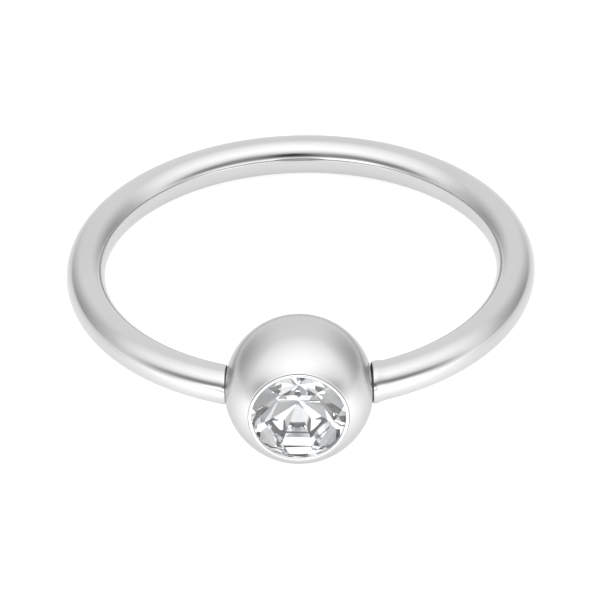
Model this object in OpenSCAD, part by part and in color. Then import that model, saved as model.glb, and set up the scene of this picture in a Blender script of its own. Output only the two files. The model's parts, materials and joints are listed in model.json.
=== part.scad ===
/* [Hoop] */
// Inside diameter of the hoop, in mm
hoop_inside_d = 16; // [14:0.5:20]
// Thickness of the round wire
wire_d = 1.6; // [1.4:0.05:1.7]
// Rounding of the edge of each wire end
end_round = 0.14; // [0.1:0.02:0.2]

/* [Ball] */
// Diameter of the ball
ball_d = 6; // [5.6:0.1:7]
// How far the dimples lie behind the middle of the ball
dimple_setback = 0.35; // [0.3:0.01:0.4]
// Depth of each dimple below the side of the ball
dimple_depth = 0.2; // [0.16:0.02:0.3]
// Gap between a wire end and the floor of its dimple
end_gap = 0.04; // [0.02:0.01:0.06]
// Room round a wire end in its dimple
dimple_room = 0.13; // [0.12:0.01:0.16]
// How far the stone faces up out of the plane of the hoop, in degrees
bead_turn = 2.9; // [0:0.1:5]

/* [Stone] */
// Diameter of the stone
stone_d = 3.86; // [3.5:0.02:4]
// Width of the table across two of its sides, as a share of the stone
table_share = 0.62; // [0.55:0.01:0.7]
// Height of the crown, from the girdle to the table
crown_height = 0.54; // [0.4:0.02:0.64]
// How many main facets go round the crown
crown_facets = 6; // [6:1:8]
// Turn of the crown round the stone's axis, in degrees
crown_turn = 31; // [0:1:60]
// Reach of the crown's break facets, as a share of the way from girdle to table
crown_break = 0.93; // [0.6:0.03:0.96]
// Thickness of the girdle where it is thinnest
girdle_height = 0.12; // [0.08:0.01:0.16]
// Slope of the main facets below the girdle, in degrees
pavilion_slope = 44.9; // [42:0.1:46]
// How many main facets go round below the girdle
pavilion_facets = 8; // [6:1:10]
// Turn of the facets below the girdle, in degrees
pavilion_turn = -3; // [-20:1:20]
// Reach of the break facets below the girdle, as a share of the way to the culet
pavilion_break = 0.21; // [0.15:0.03:0.6]

/* [Setting] */
// Width of the narrow flat that is ground round the lip
shoulder_width = 0.05; // [0.03:0.01:0.08]
// Thickness of the rubbed-over lip
lip_width = 0.14; // [0.1:0.01:0.16]
// Depth of the straight throat inside the lip
throat_depth = 0.11; // [0.1:0.01:0.14]
// Gap between the stone and its seat
seat_gap = 0.02; // [0.015:0.005:0.03]

/* [Hidden] */

steel_colour = [0.80, 0.80, 0.81];
satin_colour = [0.72, 0.72, 0.73];
crystal_colour = [0.90, 0.93, 0.96];
round_fn = 96;

wire_r = wire_d / 2;
ball_r = ball_d / 2;
hoop_r = hoop_inside_d / 2 + wire_r;

// Each wire end is a flat face square to X, just clear of the floor of its dimple
dimple_floor_x = ball_r - dimple_depth;
end_x = dimple_floor_x + end_gap;
// The bead turns about the line through the middles of the two wire ends
pivot_y = sqrt(pow(hoop_r, 2) - pow(end_x, 2));

// The lip is a round rim over the edge of the stone, on the ground front of the ball
stone_r = stone_d / 2;
lip_r = lip_width / 2;
front_r = stone_r + lip_r + shoulder_width;
front_height = sqrt(pow(ball_r, 2) - pow(front_r, 2));
throat_r = stone_r - lip_r;
groove_r = stone_r + seat_gap;

// The table, and the slopes of the facets
table_r = stone_r * table_share;
crown_slope = atan2(crown_height, stone_r - table_r);
crown_broken = break_slope(crown_slope, crown_facets, crown_break,
                           table_r / cos(180 / crown_facets));
pavilion_broken = break_slope(pavilion_slope, pavilion_facets, pavilion_break, 0);

// Heights along the stone's axis, from the centre of the ball
throat_height = front_height - throat_depth;
groove_slope_height = lip_r * 0.7;
// The seams between the facets stand out most. Those of the crown stay clear of the slope
// over the groove and of the foot of the throat, and those of the pavilion clear of the seat.
crown_rise = seam_rise(stone_r, crown_facets, crown_slope, crown_broken);
throat_rise = seam_rise(throat_r, crown_facets, crown_slope, crown_broken);
girdle_top = throat_height - 2 * seat_gap - max(groove_slope_height + crown_rise, throat_rise);
girdle_bottom = girdle_top - girdle_height;
table_height = girdle_top + crown_height;
seat_slope = atan2(tan(pavilion_slope), cos(180 / pavilion_facets));
seat_depth = groove_r * tan(seat_slope);
pavilion_rise = seam_rise(stone_r, pavilion_facets, pavilion_slope, pavilion_broken);
break_end_r = stone_r * (1 - pavilion_break);
break_end_rise = (stone_r - break_end_r * cos(180 / pavilion_facets)) * tan(pavilion_slope);
seat_top = girdle_bottom - 2 * seat_gap
           - max(pavilion_rise, break_end_rise - (groove_r - break_end_r) * tan(seat_slope));

// The jewel lies on its side, on the ball and on the back of the wire. Its tilt is the
// angle at which both touch the surface: a * sin(tilt) + b * cos(tilt) = c.
ball_y = pivot_y + dimple_setback * cos(bead_turn);
ball_z = dimple_setback * sin(bead_turn);
tilt_a = hoop_r + ball_y;
tilt_b = ball_z;
tilt_c = ball_r - wire_r;
rest_tilt = asin(tilt_c / norm([tilt_a, tilt_b])) - atan2(tilt_b, tilt_a);
hoop_centre_z = wire_r + hoop_r * sin(rest_tilt);

// The origin is under the middle of the whole jewel, front to back
stone_tilt = rest_tilt + bead_turn;
back_reach = hoop_r * cos(rest_tilt) + wire_r;
ball_reach = ball_y * cos(rest_tilt) - ball_z * sin(rest_tilt);
lip_reach = front_height * cos(stone_tilt) + stone_r * sin(stone_tilt) + lip_r;
table_drop = max([for (k = [0 : crown_facets - 1])
    -sin(crown_turn + (k + 0.5) * 360 / crown_facets) * table_r / cos(180 / crown_facets)]);
table_reach = table_height * cos(stone_tilt) + table_drop * sin(stone_tilt);
front_reach = ball_reach + max(lip_reach, table_reach);
hoop_centre_y = (front_reach - back_reach) / 2;

// The slope of a break facet. It starts at the girdle, half a facet on from a main one, and
// ends at this share of the way along their seam to the inner radius.
function break_slope(slope, facets, share, inner_r) =
    let (tip_r = stone_r - (stone_r - inner_r) * share)
    atan2((stone_r - tip_r * cos(180 / facets)) * tan(slope), stone_r - tip_r);

// The seam between a main and a break facet stands off from the height at which the main
// facet starts. This is how far it does so at a radius between the girdle and its end.
function seam_rise(radius, facets, slope, broken) =
    let (half = 180 / facets,
         across = tan(slope) - tan(broken) * cos(half),
         along = tan(broken) * sin(half),
         share = stone_r * (tan(slope) - tan(broken)) / (radius * norm([across, along])),
         turn = acos(share) - atan2(along, across))
    (stone_r - radius * cos(turn)) * tan(slope);

// The jewel's own frame has the hoop flat, and this lays it down as it rests
module at_rest()
    translate([0, hoop_centre_y, hoop_centre_z])
        rotate([-rest_tilt, 0, 0])
            children();

// The ball's own frame has its centre at the origin and the stone facing +Z
module in_ball_frame()
    at_rest()
        translate([0, -pivot_y, 0])
            rotate([-bead_turn, 0, 0])
                translate([0, -dimple_setback, 0])
                    rotate([90, 0, 0])
                        children();

module wire_loop()
    rotate_extrude($fn = round_fn)
        translate([hoop_r, 0])
            circle(r = wire_r, $fn = round_fn);

// The gap between the two wire ends, which the ball fills
module wire_gap()
    translate([-end_x, -pivot_y - 4 * wire_r, -2 * wire_r])
        cube([2 * end_x, 6 * wire_r, 4 * wire_r]);

// What is ground off the edge of the wire end on the +X side to round it
module end_rounding() {
    core_r = wire_r - end_round;
    translate([end_x, -pivot_y, 0])
        rotate([0, 90, 0])
            rotate_extrude($fn = round_fn)
                difference() {
                    translate([core_r, -end_round])
                        square([3 * end_round, 2 * end_round]);
                    translate([core_r, end_round])
                        circle(r = end_round, $fn = round_fn);
                }
}

module hoop()
    color(steel_colour)
        at_rest()
            difference() {
                wire_loop();
                wire_gap();
                end_rounding();
                mirror([1, 0, 0])
                    end_rounding();
            }

module dimple()
    translate([dimple_floor_x, 0, -dimple_setback])
        rotate([0, 90, 0])
            cylinder(r = wire_r + dimple_room, h = ball_r, $fn = round_fn);

// The hollow under the lip: a straight throat, a groove for the girdle and a conical seat
module stone_seat()
    rotate_extrude($fn = round_fn)
        polygon([[0, seat_top - seat_depth],
                 [groove_r, seat_top],
                 [groove_r, throat_height - groove_slope_height],
                 [throat_r, throat_height],
                 [throat_r, ball_r],
                 [0, ball_r]]);

module bead()
    color(satin_colour)
        in_ball_frame()
            difference() {
                union() {
                    difference() {
                        sphere(r = ball_r, $fn = round_fn);
                        translate([0, 0, front_height])
                            cylinder(r = ball_r, h = ball_r, $fn = round_fn);
                    }
                    rotate_extrude($fn = round_fn)
                        translate([stone_r, front_height])
                            circle(r = lip_r, $fn = round_fn);
                }
                stone_seat();
                dimple();
                mirror([1, 0, 0])
                    dimple();
            }

// What is ground off the blank to leave one flat that faces this way round, tilted from
// straight up by its slope, through the point at this radius and height
module ground_off(turn, slope, radius, height)
    rotate([0, 0, turn])
        translate([radius, 0, height])
            rotate([0, slope, 0])
                translate([-stone_d, -stone_d, 0])
                    cube([2 * stone_d, 2 * stone_d, 2 * stone_d]);

// A round of main facets with a break facet between each two
module ground_round(facets, turn, main, broken, height)
    for (k = [0 : facets - 1]) {
        ground_off(turn + k * 360 / facets, main, stone_r, height);
        ground_off(turn + (k + 0.5) * 360 / facets, broken, stone_r, height);
    }

module crystal()
    color(crystal_colour)
        in_ball_frame()
            difference() {
                translate([0, 0, table_height - stone_d])
                    cylinder(r = stone_r, h = stone_d, $fn = round_fn);
                ground_round(crown_facets, crown_turn, crown_slope, crown_broken, girdle_top);
                ground_round(pavilion_facets, pavilion_turn, 180 - pavilion_slope,
                             180 - pavilion_broken, girdle_bottom);
            }

hoop();
bead();
crystal();
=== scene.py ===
import json
import math
import random
from collections import namedtuple
import bmesh
import bpy
from mathutils import Matrix, Vector


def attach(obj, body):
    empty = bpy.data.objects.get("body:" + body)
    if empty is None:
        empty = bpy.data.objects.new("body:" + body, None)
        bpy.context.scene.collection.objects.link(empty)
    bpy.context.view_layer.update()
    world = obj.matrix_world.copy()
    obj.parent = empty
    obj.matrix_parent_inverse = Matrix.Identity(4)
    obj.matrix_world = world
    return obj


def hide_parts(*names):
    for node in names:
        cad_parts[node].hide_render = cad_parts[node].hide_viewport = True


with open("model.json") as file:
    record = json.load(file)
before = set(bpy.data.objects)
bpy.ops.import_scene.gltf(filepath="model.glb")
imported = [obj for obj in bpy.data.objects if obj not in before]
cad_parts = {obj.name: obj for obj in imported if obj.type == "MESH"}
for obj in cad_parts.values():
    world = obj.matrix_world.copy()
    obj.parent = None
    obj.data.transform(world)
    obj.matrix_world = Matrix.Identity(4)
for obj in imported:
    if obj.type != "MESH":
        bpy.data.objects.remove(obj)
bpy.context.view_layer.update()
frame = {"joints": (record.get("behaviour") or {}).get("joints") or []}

# Driving sizes, the same as in the part's source
MM = 0.001
HOOP_R = 8.8 * MM
WIRE_R = 0.8 * MM
BALL_R = 3.0 * MM
DIMPLE_SETBACK = 0.35 * MM
DIMPLE_DEPTH = 0.2 * MM
DIMPLE_ROOM = 0.13 * MM
END_GAP = 0.04 * MM
BEAD_TURN = math.radians(2.9)
STONE_R = 1.93 * MM
TABLE_SHARE = 0.62
CROWN_HEIGHT = 0.54 * MM
CROWN_FACETS = 6
CROWN_TURN = math.radians(31)
CROWN_BREAK = 0.93
GIRDLE_HEIGHT = 0.12 * MM
PAVILION_SLOPE = math.radians(44.9)
PAVILION_FACETS = 8
PAVILION_TURN = math.radians(-3)
PAVILION_BREAK = 0.21
SHOULDER_WIDTH = 0.05 * MM
LIP_R = 0.07 * MM
THROAT_DEPTH = 0.11 * MM
GROOVE_SLOPE_SHARE = 0.7
SEAT_GAP = 0.02 * MM

# The two ends aren't quite alike: the right one is upset a little and its dimple opens wider
End = namedtuple("End", "sign rounding flare rim")
RIGHT_END = End(sign=1, rounding=0.20 * MM, flare=0.06 * MM, rim=0.16 * MM)
LEFT_END = End(sign=-1, rounding=0.16 * MM, flare=0.0, rim=0.06 * MM)

# How far the flare reaches along the wire, and the rounding at the foot of a dimple
FLARE_LENGTH = 0.4 * MM
FOOT_ROUND = 0.04 * MM

# The crease round the lip is as deep as it is wide. Over the stone it carries painted shade in
# dark steel, where the sine of the angle round the stone's axis is above this value.
CREASE = 0.02 * MM
PAINTED_CREASE_SHADE_SINE = 0.4

# The stone's facets are ground a little off true, and the edges of its crown are worn. An edge
# that turns by less than the last angle is too blunt to wear.
FACET_ERROR = math.radians(0.6)
STONE_SEED = 27
EDGE_WEAR = 0.008 * MM
BLUNT_EDGE = math.radians(8)

# How finely the round surfaces are divided. The first steps of the rounding of a wire end are
# polished like the wire, and the others are dark steel with painted shade.
HOOP_STEPS = 320
WIRE_SIDES = 72
END_STEPS = 5
POLISHED_END_STEPS = 2
BALL_COLUMNS = 192
BALL_ROWS = 72
PATCH_HALF = 14
PATCH_RINGS = 7
LIP_STEPS = 14
RIM_STEPS = 4
FLOOR_RINGS = 5
CONE_RINGS = 6
GIRDLE_SIDES = 96

# An edge that turns by more than this is shaded sharp
WIRE_SHARP = math.radians(50)
BALL_SHARP = math.radians(35)
FLOOR_SHARP = math.radians(30)

# The material slots of the hoop, the bead and the crystal. The dark steel slots are painted shade.
WIRE, WIRE_PAINTED_SHADE = range(2)
SATIN, LIP, SEAT, PAINTED_SHADE = range(4)
GLASS, FOIL = range(2)

# Where the wire ends and the dimples are, worked out as in the part's source
dimple_floor_x = BALL_R - DIMPLE_DEPTH
end_x = dimple_floor_x + END_GAP
dimple_r = WIRE_R + DIMPLE_ROOM
pivot_y = math.sqrt(HOOP_R ** 2 - end_x ** 2)

# The setting and the stone's table, worked out the same way
front_r = STONE_R + LIP_R + SHOULDER_WIDTH
front_height = math.sqrt(BALL_R ** 2 - front_r ** 2)
throat_r = STONE_R - LIP_R
groove_r = STONE_R + SEAT_GAP
throat_height = front_height - THROAT_DEPTH
groove_slope = LIP_R * GROOVE_SLOPE_SHARE
table_reach = STONE_R * TABLE_SHARE
crown_slope = math.atan2(CROWN_HEIGHT, STONE_R - table_reach)


def break_slope(slope, half, share, inner):
    """The slope of a break facet. It starts at the girdle, half a facet on from a main one,
    and ends at this share of the way along their seam to the inner radius."""
    tip = STONE_R - (STONE_R - inner) * share
    rise = (STONE_R - tip * math.cos(half)) * math.tan(slope)
    return math.atan2(rise, STONE_R - tip)


def seam_rise(radius, half, slope, broken):
    """How far the seam between a main and a break facet stands off, at a radius between the
    girdle and its end, from the height at which the main facet starts."""
    across = math.tan(slope) - math.tan(broken) * math.cos(half)
    along = math.tan(broken) * math.sin(half)
    share = STONE_R * (math.tan(slope) - math.tan(broken)) / (radius * math.hypot(across, along))
    turn = math.acos(share) - math.atan2(along, across)
    return (STONE_R - radius * math.cos(turn)) * math.tan(slope)


# Half the angle from one main facet to the next, and the slopes of the facets between them
crown_half = math.pi / CROWN_FACETS
pavilion_half = math.pi / PAVILION_FACETS
crown_broken = break_slope(crown_slope, crown_half, CROWN_BREAK,
                           table_reach / math.cos(crown_half))
pavilion_broken = break_slope(PAVILION_SLOPE, pavilion_half, PAVILION_BREAK, 0)

# The stone is held under the lip and clear of its seat, wherever its seams stand out
crown_rise = seam_rise(STONE_R, crown_half, crown_slope, crown_broken)
throat_rise = seam_rise(throat_r, crown_half, crown_slope, crown_broken)
girdle_top = throat_height - 2 * SEAT_GAP - max(groove_slope + crown_rise, throat_rise)
girdle_bottom = girdle_top - GIRDLE_HEIGHT
table_height = girdle_top + CROWN_HEIGHT
seat_slope = math.tan(PAVILION_SLOPE) / math.cos(pavilion_half)
pavilion_rise = seam_rise(STONE_R, pavilion_half, PAVILION_SLOPE, pavilion_broken)
break_end = STONE_R * (1 - PAVILION_BREAK)
break_rise = (STONE_R - break_end * math.cos(pavilion_half)) * math.tan(PAVILION_SLOPE)
seat_rise = max(pavilion_rise, break_rise - (groove_r - break_end) * seat_slope)
seat_top = girdle_bottom - 2 * SEAT_GAP - seat_rise
seat_bottom = seat_top - groove_r * seat_slope

# The hoop lies tilted, and the frame's own joint says where the bead's pivot is
pivot = Vector(frame["joints"][0]["pos_m"])
rest_tilt = math.asin((pivot.z - WIRE_R) / (HOOP_R + pivot_y))
hoop_centre = Vector((0, pivot.y + pivot_y * math.cos(rest_tilt),
                      WIRE_R + HOOP_R * math.sin(rest_tilt)))
HOOP_FRAME = Matrix.Translation(hoop_centre) @ Matrix.Rotation(-rest_tilt, 4, "X")
BALL_FRAME = (HOOP_FRAME
              @ Matrix.Translation((0, -pivot_y, 0))
              @ Matrix.Rotation(-BEAD_TURN, 4, "X")
              @ Matrix.Translation((0, -DIMPLE_SETBACK, 0))
              @ Matrix.Rotation(math.radians(90), 4, "X"))


# Meshes

def circle(count, start=0.0):
    """Evenly spaced angles round a full turn."""
    return [start + 2 * math.pi * k / count for k in range(count)]


def around(angle, radius, height):
    """A point from its angle round the Z axis, its distance from it and its height."""
    return Vector((radius * math.cos(angle), radius * math.sin(angle), height))


def new_piece(name, mesh, matrix, materials):
    """Turns a finished mesh into an object at its place in the scene."""
    bmesh.ops.recalc_face_normals(mesh, faces=mesh.faces)
    mesh.transform(matrix)
    data = bpy.data.meshes.new(name)
    mesh.to_mesh(data)
    mesh.free()
    for material in materials:
        data.materials.append(material)
    piece = bpy.data.objects.new(name, data)
    bpy.context.scene.collection.objects.link(piece)
    return piece


class Shell:
    """A mesh that grows ring by ring, in a frame of its own."""

    def __init__(self):
        self.mesh = bmesh.new()
        self.place = self.mesh.verts.layers.float_vector.new("place")

    def point(self, position):
        """A vertex. It also keeps its place, where the grain of the metal is looked up."""
        vert = self.mesh.verts.new(position)
        vert[self.place] = position
        return vert

    def ring(self, points):
        return [self.point(p) for p in points]

    def join(self, first, second, closed=True, slot=0):
        """Quads between two rings of the same length."""
        count = len(first)
        faces = []
        for here in range(count if closed else count - 1):
            after = (here + 1) % count
            face = self.mesh.faces.new((first[here], first[after], second[after], second[here]))
            face.material_index = slot
            faces.append(face)
        return faces

    def grow(self, last_ring, points, slot=0):
        """A new ring, joined to the last one."""
        ring = self.ring(points)
        self.join(last_ring, ring, slot=slot)
        return ring

    def fan(self, ring, point, slot=0):
        """Triangles from a ring to one middle point."""
        middle = self.point(point)
        for k, vert in enumerate(ring):
            face = self.mesh.faces.new((vert, ring[(k + 1) % len(ring)], middle))
            face.material_index = slot

    def close_flat(self, edge, middle, rings, slot):
        """Fills a flat round opening with rings that shrink toward its middle."""
        corners = [Vector(v.co) for v in edge]
        last_ring = edge
        for step in range(rings - 1, 0, -1):
            share = step / rings
            last_ring = self.grow(last_ring, [middle.lerp(c, share) for c in corners], slot)
        self.fan(last_ring, middle, slot)

    def finish(self, name, matrix, materials, sharp_angle):
        """Turns the shell into an object at its place, shaded smooth up to an angle."""
        piece = new_piece(name, self.mesh, matrix, materials)
        for polygon in piece.data.polygons:
            polygon.use_smooth = True
        piece.data.set_sharp_from_angle(angle=sharp_angle)
        return piece


# The hoop

def wire_point(turn, side, radius):
    """A point on the wire's skin, from the angle round the hoop and the angle round the wire."""
    reach = HOOP_R + radius * math.cos(side)
    return Vector((reach * math.sin(turn), -reach * math.cos(turn), radius * math.sin(side)))


def flared(share, end):
    """How much thicker the wire is near one of its ends, share 0 being at the end. The flare
    dies away by a smooth step."""
    away = min(share * 2 * math.pi * HOOP_R / FLARE_LENGTH, 1)
    return end.flare * (1 - away * away * (3 - 2 * away))


def section(share):
    """One closed section of the wire. Shares 0 and 1 are where the two ends start to round."""
    radius = WIRE_R + flared(share, RIGHT_END) + flared(1 - share, LEFT_END)
    points = []
    for side in circle(WIRE_SIDES):
        reach = HOOP_R + radius * math.cos(side)
        first = math.asin((end_x + RIGHT_END.rounding) / reach)
        last = 2 * math.pi - math.asin((end_x + LEFT_END.rounding) / reach)
        points.append(wire_point(first + share * (last - first), side, radius))
    return points


def rounded_end(shell, last_ring, end):
    """Rolls the skin of the wire over into its flat end. The last steps of the rounding and the
    flat end are dark steel with painted shade.
    """
    axis = Vector((0, -pivot_y, 0))
    outline = [Vector((0, v.co.y, v.co.z)) for v in last_ring]
    for step in range(1, END_STEPS + 1):
        turn = math.radians(90) * step / END_STEPS
        inset = end.rounding * (1 - math.cos(turn))
        x = end.sign * (end_x + end.rounding * (1 - math.sin(turn)))
        points = [Vector((x, 0, 0)) + p + (axis - p).normalized() * inset for p in outline]
        last_ring = shell.grow(last_ring, points, WIRE if step <= POLISHED_END_STEPS else WIRE_PAINTED_SHADE)
    shell.close_flat(last_ring, Vector((end.sign * end_x, -pivot_y, 0)), END_STEPS, WIRE_PAINTED_SHADE)


def unroll(shell):
    """Looks the grain up along the straight wire, as it was drawn before it was bent."""
    for vert in shell.mesh.verts:
        x, y, z = vert.co
        turn = math.atan2(x, -y) % (2 * math.pi)
        vert[shell.place] = (turn * HOOP_R, math.hypot(x, y) - HOOP_R, z)


def make_hoop(materials):
    """The round wire, swept from one rounded end to the other."""
    shell = Shell()
    first_ring = shell.ring(section(0))
    last_ring = first_ring
    for step in range(1, HOOP_STEPS + 1):
        last_ring = shell.grow(last_ring, section(step / HOOP_STEPS))
    rounded_end(shell, first_ring, RIGHT_END)
    rounded_end(shell, last_ring, LEFT_END)
    unroll(shell)
    return shell.finish("hoop_wire", HOOP_FRAME, materials, WIRE_SHARP)


# The bead

def on_ball(polar, azimuth):
    """A point of the ball from its angle off the stone's axis and its angle round it."""
    return around(azimuth, BALL_R * math.sin(polar), BALL_R * math.cos(polar))


def dimple_edge(angle):
    """Distance from a dimple's axis to its rim. Behind, its floor runs out of the ball."""
    run_out_r = math.sqrt(BALL_R ** 2 - dimple_floor_x ** 2)
    run_out = (DIMPLE_SETBACK * math.sin(angle)
               + math.sqrt(run_out_r ** 2 - (DIMPLE_SETBACK * math.cos(angle)) ** 2))
    return min(dimple_r, run_out)


def dimple_point(sign, angle, reach, x=None):
    """A point round a dimple's axis, at a stated depth or on the ball."""
    y = reach * math.cos(angle)
    z = reach * math.sin(angle) - DIMPLE_SETBACK
    if x is None:
        x = math.sqrt(BALL_R ** 2 - y ** 2 - z ** 2)
    return Vector((sign * x, y, z))


def bend(first, corner, last, share):
    """A point on the curve that rounds a corner."""
    return first.lerp(corner, share).lerp(corner.lerp(last, share), share)


def grow_to_rim(shell, border, rim):
    """Even rings on the ball, from the border of a square patch to a dimple's round rim."""
    starts = [Vector(v.co) for v in border]
    last_ring = border
    for step in range(1, PATCH_RINGS + 1):
        share = step / PATCH_RINGS
        points = [start.lerp(stop, share).normalized() * BALL_R
                  for start, stop in zip(starts, rim)]
        last_ring = shell.grow(last_ring, points)
    return last_ring


def round_corner(shell, last_ring, firsts, corners, lasts, slot):
    """Rings that round a corner from the line of first points to the line of last ones."""
    for step in range(1, RIM_STEPS + 1):
        share = step / RIM_STEPS
        points = [bend(*three, share) for three in zip(firsts, corners, lasts)]
        last_ring = shell.grow(last_ring, points, slot)
    return last_ring


def make_dimple(shell, border, end):
    """Fills a square patch of the ball: even rings to the round rim, then the hollow."""
    angles = [math.atan2(v.co.z + DIMPLE_SETBACK, v.co.y) for v in border]

    def line(outset, x=None):
        """A line round the dimple, this far outside its edge, with a point for each angle."""
        return [dimple_point(end.sign, a, dimple_edge(a) + outset, x) for a in angles]

    rim = line(end.rim)
    tops = line(0)
    feet = line(0, dimple_floor_x)
    floor_edge = line(-FOOT_ROUND, dimple_floor_x)
    halfway = [top.lerp(foot, 0.5) for top, foot in zip(tops, feet)]
    last_ring = grow_to_rim(shell, border, rim)
    last_ring = round_corner(shell, last_ring, rim, tops, halfway, LIP)
    # The hollow's lower wall and floor are dark steel: painted shade in the dimple
    last_ring = round_corner(shell, last_ring, halfway, feet, floor_edge, PAINTED_SHADE)
    middle = Vector((end.sign * dimple_floor_x, 0, -DIMPLE_SETBACK))
    shell.close_flat(last_ring, middle, FLOOR_RINGS, PAINTED_SHADE)


# The skin of the ball is a grid round the stone's axis, from the ground front to the back.
# A square patch of it is left out round the middle of each dimple.
front_polar = math.asin(front_r / BALL_R)
row_turn = (math.pi - front_polar) / BALL_ROWS
dimple_polar = math.pi / 2 + math.asin(DIMPLE_SETBACK / BALL_R)
patch_row = round((dimple_polar - front_polar) / row_turn)


def patch_column(end):
    """The column of the grid in the middle of the patch for one end's dimple."""
    return 0 if end.sign > 0 else BALL_COLUMNS // 2


def in_patch(row, column):
    """Whether this place on the grid is inside one of the two patches."""
    half_turn = BALL_COLUMNS // 2
    aside = min(abs((column - patch_column(end) + half_turn) % BALL_COLUMNS - half_turn)
                for end in (RIGHT_END, LEFT_END))
    return max(abs(row - patch_row), aside) < PATCH_HALF


def patch_border(rows, end):
    """The border of the patch for one end's dimple, once round."""
    top, bottom = patch_row - PATCH_HALF, patch_row + PATCH_HALF
    left, right = patch_column(end) - PATCH_HALF, patch_column(end) + PATCH_HALF
    walk = [(top, column) for column in range(left, right)]
    walk += [(row, right) for row in range(top, bottom)]
    walk += [(bottom, column) for column in range(right, left, -1)]
    walk += [(row, left) for row in range(bottom, top, -1)]
    return [rows[row][column % BALL_COLUMNS] for row, column in walk]


def make_ball_skin(shell):
    """The ball's skin with its two dimples. It returns the skin's edge at the ground front."""
    rows = []
    for row in range(BALL_ROWS):
        polar = front_polar + row * row_turn
        rows.append([None if in_patch(row, column) else shell.point(on_ball(polar, azimuth))
                     for column, azimuth in enumerate(circle(BALL_COLUMNS))])
    for row in range(BALL_ROWS - 1):
        for column in range(BALL_COLUMNS):
            if not in_patch(row + 0.5, column + 0.5):
                after = (column + 1) % BALL_COLUMNS
                shell.mesh.faces.new((rows[row][column], rows[row][after],
                                      rows[row + 1][after], rows[row + 1][column]))
    shell.fan(rows[-1], (0, 0, -BALL_R))
    for end in (RIGHT_END, LEFT_END):
        make_dimple(shell, patch_border(rows, end), end)
    return rows[0]


def setting_profile():
    """Half a section of the setting, from the ground front inward: for each corner its
    distance from the axis, its height, and the slot of the metal that leads to it."""
    lip_foot = STONE_R + LIP_R
    profile = [(lip_foot + CREASE, front_height, SATIN),
               (lip_foot + CREASE / 2, front_height - CREASE, PAINTED_SHADE),
               (lip_foot, front_height, PAINTED_SHADE)]
    for step in range(1, LIP_STEPS + 1):
        turn = math.pi * step / LIP_STEPS
        profile.append((STONE_R + LIP_R * math.cos(turn),
                        front_height + LIP_R * math.sin(turn), LIP))
    profile += [(throat_r, throat_height, LIP),
                (groove_r, throat_height - groove_slope, LIP),
                (groove_r, seat_top, LIP)]
    for step in range(1, CONE_RINGS):
        share = step / CONE_RINGS
        profile.append((groove_r * (1 - share),
                        seat_top + (seat_bottom - seat_top) * share, SEAT))
    return profile


def make_setting(shell, edge):
    """The ground front, a crease, the polished lip, the throat, the groove and the seat. The
    crease carries painted shade in dark steel over the stone, and is satin like the ball round the
    rest of the lip."""
    angles = circle(BALL_COLUMNS)
    last_ring = edge
    for reach, height, slot in setting_profile():
        ring = shell.ring([around(a, reach, height) for a in angles])
        faces = shell.join(last_ring, ring, slot=slot)
        # The crease's painted shade is kept only over the stone
        if slot == PAINTED_SHADE:
            for face, angle in zip(faces, angles):
                if math.sin(angle) < PAINTED_CREASE_SHADE_SINE:
                    face.material_index = SATIN
        last_ring = ring
    shell.fan(last_ring, (0, 0, seat_bottom), SEAT)


def make_bead(materials):
    """The ball with its two dimples and the setting, as one skin."""
    shell = Shell()
    edge = make_ball_skin(shell)
    make_setting(shell, edge)
    return shell.finish("bead_ball", BALL_FRAME, materials, BALL_SHARP)


# The stone

Flat = namedtuple("Flat", "point normal slot")
BLANK_HEIGHT = 8 * STONE_R
# A corner of the stone that is this near to a flat, in mm, lies on it
ON_FLAT = 0.00001


def facet(turn, slope, reach, height, slot, errors):
    """A flat that faces one way round the stone, tilted from straight up by its slope, and
    ground a little off true."""
    off = Vector((errors.gauss(0, FACET_ERROR), errors.gauss(0, FACET_ERROR), 0))
    normal = around(turn, math.sin(slope), math.cos(slope)) + off
    return Flat(around(turn, reach, height), normal.normalized(), slot)


def stone_flats():
    """Every flat of the cut: the table, then the crown round, then the pavilion round."""
    errors = random.Random(STONE_SEED)
    flats = [Flat(Vector((0, 0, table_height)), Vector((0, 0, 1)), GLASS)]
    for turn in circle(CROWN_FACETS, CROWN_TURN):
        flats.append(facet(turn, crown_slope, table_reach, table_height, GLASS, errors))
        flats.append(facet(turn + crown_half, crown_broken, STONE_R, girdle_top, GLASS, errors))
    main = math.pi - PAVILION_SLOPE
    broken = math.pi - pavilion_broken
    for turn in circle(PAVILION_FACETS, PAVILION_TURN):
        flats.append(facet(turn, main, STONE_R, girdle_bottom, FOIL, errors))
        flats.append(facet(turn + pavilion_half, broken, STONE_R, girdle_bottom, FOIL, errors))
    return flats


def grind(mesh, flat):
    """Cuts one flat on the stone."""
    parts = mesh.verts[:] + mesh.edges[:] + mesh.faces[:]
    cut = bmesh.ops.bisect_plane(mesh, geom=parts, dist=ON_FLAT, plane_co=flat.point / MM,
                                 plane_no=flat.normal, clear_outer=True)
    rim = [part for part in cut["geom_cut"] if isinstance(part, bmesh.types.BMEdge)]
    if len(rim) > 2:
        face = bmesh.ops.contextual_create(mesh, geom=rim)["faces"][0]
        face.material_index = flat.slot


def worn_edges(mesh):
    """A narrow flat for each edge of the crown, which wear has taken off it."""
    flats = []
    for edge in mesh.edges:
        first, second = edge.link_faces
        angle = first.normal.angle(second.normal)
        if angle < BLUNT_EDGE or GLASS not in (first.material_index, second.material_index):
            continue
        middle = (edge.verts[0].co + edge.verts[1].co) / 2 * MM
        normal = (first.normal + second.normal).normalized()
        depth = EDGE_WEAR / 2 * math.tan(angle / 2)
        flats.append(Flat(middle - normal * depth, normal, GLASS))
    return flats


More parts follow.
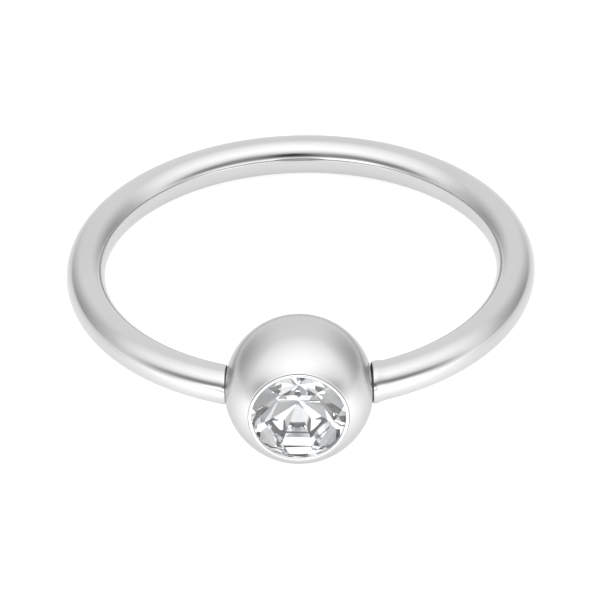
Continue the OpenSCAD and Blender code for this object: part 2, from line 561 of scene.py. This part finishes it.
def make_stone(materials):
    """The crystal, ground flat by flat from a blank. It is worked in mm and scaled after."""
    mesh = bmesh.new()
    bmesh.ops.create_cone(mesh, cap_ends=True, segments=GIRDLE_SIDES, radius1=STONE_R / MM,
                          radius2=STONE_R / MM, depth=BLANK_HEIGHT / MM)
    for face in mesh.faces:
        face.material_index = FOIL
    for flat in stone_flats():
        grind(mesh, flat)
    mesh.normal_update()
    for flat in worn_edges(mesh):
        grind(mesh, flat)
    return new_piece("crystal_stone", mesh, BALL_FRAME @ Matrix.Scale(MM, 4), materials)


# Materials

# Noise lies mostly between these two values, which are mapped to the ends of a range
NOISE_LOW = 0.3
NOISE_HIGH = 0.7


def new_material(name):
    """A material with its node tree and its shader."""
    material = bpy.data.materials.new(name)
    material.use_nodes = True
    return material, material.node_tree, material.node_tree.nodes["Principled BSDF"]


def object_place(tree):
    """Where a point is on the piece at rest."""
    return tree.nodes.new("ShaderNodeTexCoord").outputs["Object"]


def made_place(tree):
    """Where a point was on the piece as it was made, which its mesh keeps."""
    place = tree.nodes.new("ShaderNodeAttribute")
    place.attribute_name = "place"
    return place.outputs["Vector"]


def noise(tree, place, scale, detail, stretch=(1, 1, 1)):
    """Noise by place, drawn out along some axes."""
    mapping = tree.nodes.new("ShaderNodeMapping")
    mapping.inputs["Scale"].default_value = stretch
    texture = tree.nodes.new("ShaderNodeTexNoise")
    texture.inputs["Scale"].default_value = scale
    texture.inputs["Detail"].default_value = detail
    tree.links.new(place, mapping.inputs["Vector"])
    tree.links.new(mapping.outputs["Vector"], texture.inputs["Vector"])
    return texture.outputs["Fac"]


def spread(tree, value, low, high):
    """Maps a noise value to a range."""
    ranger = tree.nodes.new("ShaderNodeMapRange")
    ranger.inputs["From Min"].default_value = NOISE_LOW
    ranger.inputs["From Max"].default_value = NOISE_HIGH
    ranger.inputs["To Min"].default_value = low
    ranger.inputs["To Max"].default_value = high
    tree.links.new(value, ranger.inputs["Value"])
    return ranger.outputs["Result"]


def tint(tree, value, dark, light):
    """A colour between two, by a noise value."""
    ramp = tree.nodes.new("ShaderNodeValToRGB")
    stops = ramp.color_ramp.elements
    for stop, position, colour in zip(stops, (NOISE_LOW, NOISE_HIGH), (dark, light)):
        stop.position = position
        stop.color = (*colour, 1)
    tree.links.new(value, ramp.inputs["Fac"])
    return ramp.outputs["Color"]


def bump(tree, shader, value, height):
    """Fine relief from a noise value."""
    relief = tree.nodes.new("ShaderNodeBump")
    relief.inputs["Strength"].default_value = 1.0
    relief.inputs["Distance"].default_value = height
    tree.links.new(value, relief.inputs["Height"])
    tree.links.new(relief.outputs["Normal"], shader.inputs["Normal"])


def steel(name, dark, light, smooth, rough, grain_scale, grain_height, edge=1.0,
          stretch=(1, 1, 1)):
    """Bare steel: its colour and gloss vary a little, and it has a fine grain. Seen nearly
    edge on, it reflects less, by the edge value."""
    material, tree, shader = new_material(name)
    shader.inputs["Metallic"].default_value = 1.0
    shader.inputs["Specular Tint"].default_value = (edge, edge, edge, 1)
    cloud = noise(tree, made_place(tree), scale=260.0, detail=3.0)
    grain = noise(tree, made_place(tree), scale=grain_scale, detail=4.0, stretch=stretch)
    tree.links.new(tint(tree, cloud, dark, light), shader.inputs["Base Color"])
    tree.links.new(spread(tree, grain, smooth, rough), shader.inputs["Roughness"])
    bump(tree, shader, grain, grain_height)
    return material


def polished_steel():
    """The drawn and polished wire, with its grain along it."""
    return steel("polished_steel", dark=(0.53, 0.53, 0.532), light=(0.56, 0.56, 0.562),
                 smooth=0.08, rough=0.10, grain_scale=9000.0, grain_height=0.0007 * MM,
                 edge=0.9, stretch=(0.03, 1, 1))


def satin_steel():
    """The soft sheen of the ball."""
    return steel("satin_steel", dark=(0.53, 0.53, 0.532), light=(0.56, 0.56, 0.562),
                 smooth=0.21, rough=0.24, grain_scale=12000.0, grain_height=0.00001 * MM,
                 edge=0.8)


def polished_lip():
    """The lip, burnished as it was rubbed over the stone."""
    return steel("polished_lip", dark=(0.70, 0.70, 0.705), light=(0.74, 0.74, 0.742),
                 smooth=0.08, rough=0.11, grain_scale=9000.0, grain_height=0.000002 * MM)


def bright_seat():
    """The bright cut cone under the stone."""
    return steel("bright_seat", dark=(0.86, 0.86, 0.86), light=(0.90, 0.90, 0.90),
                 smooth=0.04, rough=0.06, grain_scale=9000.0, grain_height=0.000002 * MM)


def painted_shade_steel():
    """Rough steel as it was cut, painted dark: painted shade in the dimple hollows, on the wire
    ends and in the crease over the stone.
    """
    return steel("painted_shade_steel", dark=(0.16, 0.16, 0.162), light=(0.20, 0.20, 0.202),
                 smooth=0.40, rough=0.50, grain_scale=9000.0, grain_height=0.0002 * MM)


def cut_crystal():
    """Clear cut crystal, with the faintest change of tint through it."""
    material, tree, shader = new_material("cut_crystal")
    shader.inputs["Roughness"].default_value = 0.0
    shader.inputs["IOR"].default_value = 1.53
    shader.inputs["Transmission Weight"].default_value = 1.0
    cloud = noise(tree, object_place(tree), scale=500.0, detail=1.0)
    colour = tint(tree, cloud, dark=(0.97, 0.98, 1.0), light=(1.0, 1.0, 0.99))
    tree.links.new(colour, shader.inputs["Base Color"])
    return material


def mirror_foil():
    """The mirror foil on the back of the stone."""
    material, tree, shader = new_material("mirror_foil")
    shader.inputs["Metallic"].default_value = 0.88
    cloud = noise(tree, object_place(tree), scale=900.0, detail=2.0)
    colour = tint(tree, cloud, dark=(0.93, 0.955, 0.99), light=(1.0, 0.985, 0.955))
    tree.links.new(colour, shader.inputs["Base Color"])
    tree.links.new(spread(tree, cloud, low=0.01, high=0.03), shader.inputs["Roughness"])
    return material


# The pieces

# Dark steel that paints the shade in the dimple hollows, on the wire ends and in the crease over
# the stone
painted_shade_surface = painted_shade_steel()

hoop = make_hoop([polished_steel(), painted_shade_surface])
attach(hoop, "hoop")
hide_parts("hoop")

bead = make_bead([satin_steel(), polished_lip(), bright_seat(), painted_shade_surface])
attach(bead, "bead")
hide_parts("bead")

crystal = make_stone([cut_crystal(), mirror_foil()])
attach(crystal, "bead")
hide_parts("crystal")


# Arithmetic with nodes

def calculate(tree, operation, *values):
    """One arithmetic node. Each value is a number or another node's output."""
    node = tree.nodes.new("ShaderNodeMath")
    node.operation = operation
    for socket, value in zip(node.inputs, values):
        if isinstance(value, (int, float)):
            socket.default_value = value
        else:
            tree.links.new(value, socket)
    return node.outputs["Value"]


def ease(tree, value, start, end):
    """A smooth step from 0 at start to 1 at end."""
    ranger = tree.nodes.new("ShaderNodeMapRange")
    ranger.interpolation_type = "SMOOTHSTEP"
    ranger.inputs["From Min"].default_value = start
    ranger.inputs["From Max"].default_value = end
    tree.links.new(value, ranger.inputs["Value"])
    return ranger.outputs["Result"]


def distance(tree, across, depth):
    """How far a point is from the middle of a plane, by its two coordinates."""
    depth_squared = calculate(tree, "MULTIPLY", depth, depth)
    return calculate(tree, "SQRT", calculate(tree, "MULTIPLY_ADD", across, across, depth_squared))


def split_place(tree, place):
    """The X, Y and Z of a place."""
    split = tree.nodes.new("ShaderNodeSeparateXYZ")
    tree.links.new(place, split.inputs["Vector"])
    return split.outputs


def off_front(tree, across, depth):
    """The angle off the front, toward +X, in degrees."""
    front = calculate(tree, "MULTIPLY", depth, -1.0)
    return calculate(tree, "DEGREES", calculate(tree, "ARCTAN2", across, front))


def nearness(tree, direction, target):
    """The cosine of the angle between a direction and a fixed one."""
    dot = tree.nodes.new("ShaderNodeVectorMath")
    dot.operation = "DOT_PRODUCT"
    dot.inputs[1].default_value = target
    tree.links.new(direction, dot.inputs[0])
    return dot.outputs["Value"]


# The light of the studio

# Soft patches of the studio, in degrees: azimuth from the front toward +X, elevation, half
# sizes, and the rise toward +X over half the width. A strength below 0 darkens.
Patch = namedtuple("Patch", "azimuth elevation half_width half_height rise strength")
FRONT_STRIP = Patch(azimuth=-5, elevation=14, half_width=50, half_height=14, rise=0,
                    strength=3.5)
FRONT_SHADE = Patch(azimuth=0, elevation=25, half_width=115, half_height=50, rise=5,
                    strength=-0.85)
CAMERA_OPENING = Patch(azimuth=5, elevation=35, half_width=25, half_height=15, rise=0,
                       strength=-0.95)
RIGHT_FLAG = Patch(azimuth=50, elevation=25, half_width=45, half_height=22, rise=-15,
                   strength=-0.75)
RIGHT_CARD = Patch(azimuth=45, elevation=15, half_width=25, half_height=30, rise=-5,
                   strength=0.9)
RIGHT_REAR_FLAG = Patch(azimuth=125, elevation=-5, half_width=45, half_height=60, rise=0,
                        strength=-0.55)

# The even light of the walls, and the ceiling's wide glow, which is strongest high in front
WALL_LIGHT = 1.15
CEILING_AZIMUTH = 5
CEILING_ELEVATION = 40
CEILING_SPREAD = 0.8
CEILING_LIGHT = 0.9


def mirrored(patch):
    """The same patch on the other side of the studio."""
    return patch._replace(azimuth=-patch.azimuth, rise=-patch.rise)


PATCHES = [FRONT_STRIP, FRONT_SHADE, CAMERA_OPENING]
for side_patch in (RIGHT_FLAG, RIGHT_CARD, RIGHT_REAR_FLAG):
    PATCHES += [side_patch, mirrored(side_patch)]


def patched(tree, light, azimuth, elevation, patch):
    """The light after one soft patch has dimmed or raised it."""
    aside = calculate(tree, "SUBTRACT", azimuth, patch.azimuth)
    aside = calculate(tree, "WRAP", aside, 180.0, -180.0)
    aside = calculate(tree, "DIVIDE", aside, patch.half_width)
    above = calculate(tree, "SUBTRACT", elevation, patch.elevation)
    above = calculate(tree, "MULTIPLY_ADD", aside, -patch.rise, above)
    above = calculate(tree, "DIVIDE", above, patch.half_height)
    share = ease(tree, distance(tree, above, aside), 1.0, 0.0)
    gain = calculate(tree, "MULTIPLY_ADD", share, patch.strength, 1.0)
    return calculate(tree, "MULTIPLY", light, gain)


def studio_light(tree, overhead, azimuth, elevation):
    """The light from one direction. Overhead is the cosine of its angle to the middle of the
    ceiling's glow."""
    glow = calculate(tree, "POWER", calculate(tree, "MAXIMUM", overhead, 0.0), CEILING_SPREAD)
    light = calculate(tree, "MULTIPLY_ADD", glow, CEILING_LIGHT, WALL_LIGHT)
    for patch in PATCHES:
        light = patched(tree, light, azimuth, elevation, patch)
    return light


def toward(azimuth, elevation):
    """A direction from its angle off the front, toward +X, and its height, in degrees."""
    turn = math.radians(azimuth)
    rise = math.radians(elevation)
    return (math.sin(turn) * math.cos(rise), -math.cos(turn) * math.cos(rise), math.sin(rise))


# The floor

# A pale sheet, three metres wide, with a slight mottle
FLOOR_HALF = 1.5
FLOOR_SHADE = 0.40
FLOOR_MOTTLE = 0.01
FLOOR_ROUGHNESS = 0.9

# It glows evenly all over, like a light table, and has a painted pool of light on top, a little
# under the jewel and most in front of it
FLOOR_GLOW = 0.65
MIDDLE_PAINTED_LIGHT = 0.15
MIDDLE_Y = -4.5 * MM
MIDDLE_FULL = 12 * MM
MIDDLE_REACH = 22 * MM
FRONT_PAINTED_LIGHT = 0.90
FRONT_START = -3 * MM
FRONT_FULL = -17 * MM

# The ball's painted shadow: the floor glows less in front of the ball, in an oval
BEAD_SHADE = 0.50
BEAD_SHADE_Y = -13.5 * MM
BEAD_SHADE_WIDTH = 9 * MM
BEAD_SHADE_DEPTH = 12 * MM

# Farther out it is painted with the light of the wall, less what it reflects by itself
SWEEP_START = 20 * MM
SWEEP_END = 90 * MM
SWEEP_NARROWING = 1.5
FLOOR_BOUNCE = 0.4


def glow_with_painted_light(tree, across, depth):
    """The floor's glow round the jewel: an even glow like that of a light table, a painted pool of
    light under the jewel and in front of it, and the ball's painted shadow.
    """
    # A painted pool of light under the jewel
    from_middle = distance(tree, across, calculate(tree, "SUBTRACT", depth, MIDDLE_Y))
    middle = ease(tree, from_middle, MIDDLE_REACH, MIDDLE_FULL)
    glow = calculate(tree, "MULTIPLY_ADD", middle, MIDDLE_PAINTED_LIGHT, FLOOR_GLOW)
    # A painted pool of light in front of the jewel
    near = ease(tree, depth, FRONT_START, FRONT_FULL)
    glow = calculate(tree, "MULTIPLY_ADD", near, FRONT_PAINTED_LIGHT, glow)
    # The ball's painted shadow in front of it
    from_bead = calculate(tree, "SUBTRACT", depth, BEAD_SHADE_Y)
    from_bead = distance(tree, calculate(tree, "DIVIDE", across, BEAD_SHADE_WIDTH),
                         calculate(tree, "DIVIDE", from_bead, BEAD_SHADE_DEPTH))
    return calculate(tree, "MULTIPLY_ADD", ease(tree, from_bead, 1.0, 0.0), -BEAD_SHADE, glow)


def wall_glow(tree, across, depth):
    """The light of the foot of the wall behind a point of the floor."""
    azimuth = off_front(tree, across, depth)
    aside = calculate(tree, "SUBTRACT", azimuth, CEILING_AZIMUTH)
    overhead = calculate(tree, "COSINE", calculate(tree, "RADIANS", aside))
    overhead = calculate(tree, "MULTIPLY", overhead, math.cos(math.radians(CEILING_ELEVATION)))
    wall = studio_light(tree, overhead, azimuth, 0.0)
    return calculate(tree, "SUBTRACT", wall, FLOOR_BOUNCE)


def pale_floor():
    """Pale and glowing evenly, like a light table, with a painted pool of light that is brightest
    in front and the ball's painted shadow. Far out it is painted with the light of the wall behind
    it, as a photographer's sweep is lit."""
    material, tree, shader = new_material("pale_floor")
    shader.inputs["Roughness"].default_value = FLOOR_ROUGHNESS
    shader.inputs["Specular IOR Level"].default_value = 0.0
    cloud = noise(tree, object_place(tree), scale=8.0, detail=2.0)
    colour = tint(tree, cloud, dark=(FLOOR_SHADE,) * 3, light=(FLOOR_SHADE + FLOOR_MOTTLE,) * 3)
    tree.links.new(colour, shader.inputs["Base Color"])

    across, depth, _ = split_place(tree, object_place(tree))
    glow = glow_with_painted_light(tree, across, depth)
    out = distance(tree, calculate(tree, "MULTIPLY", across, SWEEP_NARROWING), depth)
    sweep = ease(tree, out, SWEEP_START, SWEEP_END)
    change = calculate(tree, "SUBTRACT", wall_glow(tree, across, depth), glow)
    glow = calculate(tree, "MULTIPLY_ADD", sweep, change, glow)
    shader.inputs["Emission Color"].default_value = (1, 1, 1, 1)
    tree.links.new(glow, shader.inputs["Emission Strength"])
    return material


def make_floor():
    """A flat sheet of four squares, which meet under the jewel."""
    shell = Shell()
    stops = (-FLOOR_HALF, 0, FLOOR_HALF)
    near, middle, far = [shell.ring([(x, y, 0) for x in stops]) for y in stops]
    shell.join(near, middle, closed=False)
    shell.join(middle, far, closed=False)
    return shell.finish("floor", Matrix.Identity(4), [pale_floor()], FLOOR_SHARP)


make_floor()


# The studio round it

def make_studio():
    """Soft light from all round: even walls, a glow from above, and the soft patches, of
    which the darkest is the opening that the camera looks through."""
    world = bpy.data.worlds.new("studio")
    world.use_nodes = True
    bpy.context.scene.world = world
    tree = world.node_tree
    place = tree.nodes.new("ShaderNodeTexCoord").outputs["Generated"]
    across, depth, height = split_place(tree, place)
    overhead = nearness(tree, place, toward(CEILING_AZIMUTH, CEILING_ELEVATION))
    azimuth = off_front(tree, across, depth)
    elevation = calculate(tree, "DEGREES", calculate(tree, "ARCSINE", height))
    light = studio_light(tree, overhead, azimuth, elevation)
    background = tree.nodes["Background"]
    background.inputs["Color"].default_value = (1, 1, 1, 1)
    tree.links.new(light, background.inputs["Strength"])


make_studio()


# The camera

# Its place, its turn and its lens are measured from the outlines of the hoop and the ball in
# the photo. It looks at a point a little below and to the left of the hoop's centre there.
CAMERA_AZIMUTH = math.radians(1.2)
HOOP_ELEVATION = math.radians(33.385)
CAMERA_ROLL = math.radians(-1.468)
CAMERA_DISTANCE = 266.7 * MM
LOOK_DOWN = 1.266 * MM
LOOK_LEFT = 0.027 * MM
CAMERA_LENS = 390.84
SENSOR_WIDTH = 36
CLIP_NEAR = 0.01
CLIP_FAR = 10


def camera_matrix():
    """How the camera stands in the hoop's own frame."""
    back = Vector((math.sin(CAMERA_AZIMUTH) * math.cos(HOOP_ELEVATION),
                   -math.cos(CAMERA_AZIMUTH) * math.cos(HOOP_ELEVATION),
                   math.sin(HOOP_ELEVATION)))
    level_right = Vector((math.cos(CAMERA_AZIMUTH), math.sin(CAMERA_AZIMUTH), 0))
    level_up = back.cross(level_right)
    right = level_right * math.cos(CAMERA_ROLL) + level_up * math.sin(CAMERA_ROLL)
    up = level_up * math.cos(CAMERA_ROLL) - level_right * math.sin(CAMERA_ROLL)
    place = back * CAMERA_DISTANCE
    target = -up * LOOK_DOWN - right * LOOK_LEFT
    back = (place - target).normalized()
    right = up.cross(back).normalized()
    up = back.cross(right)
    matrix = Matrix((right, up, back)).transposed().to_4x4()
    matrix.translation = place
    return matrix


def make_camera():
    """The camera stands at the photo's angle to the hoop."""
    data = bpy.data.cameras.new("camera")
    data.lens = CAMERA_LENS
    data.sensor_width = SENSOR_WIDTH
    data.clip_start = CLIP_NEAR
    data.clip_end = CLIP_FAR
    camera = bpy.data.objects.new("camera", data)
    camera.matrix_world = HOOP_FRAME @ camera_matrix()
    bpy.context.scene.collection.objects.link(camera)
    bpy.context.scene.camera = camera


make_camera()
bpy.context.scene.view_settings.view_transform = "Standard"
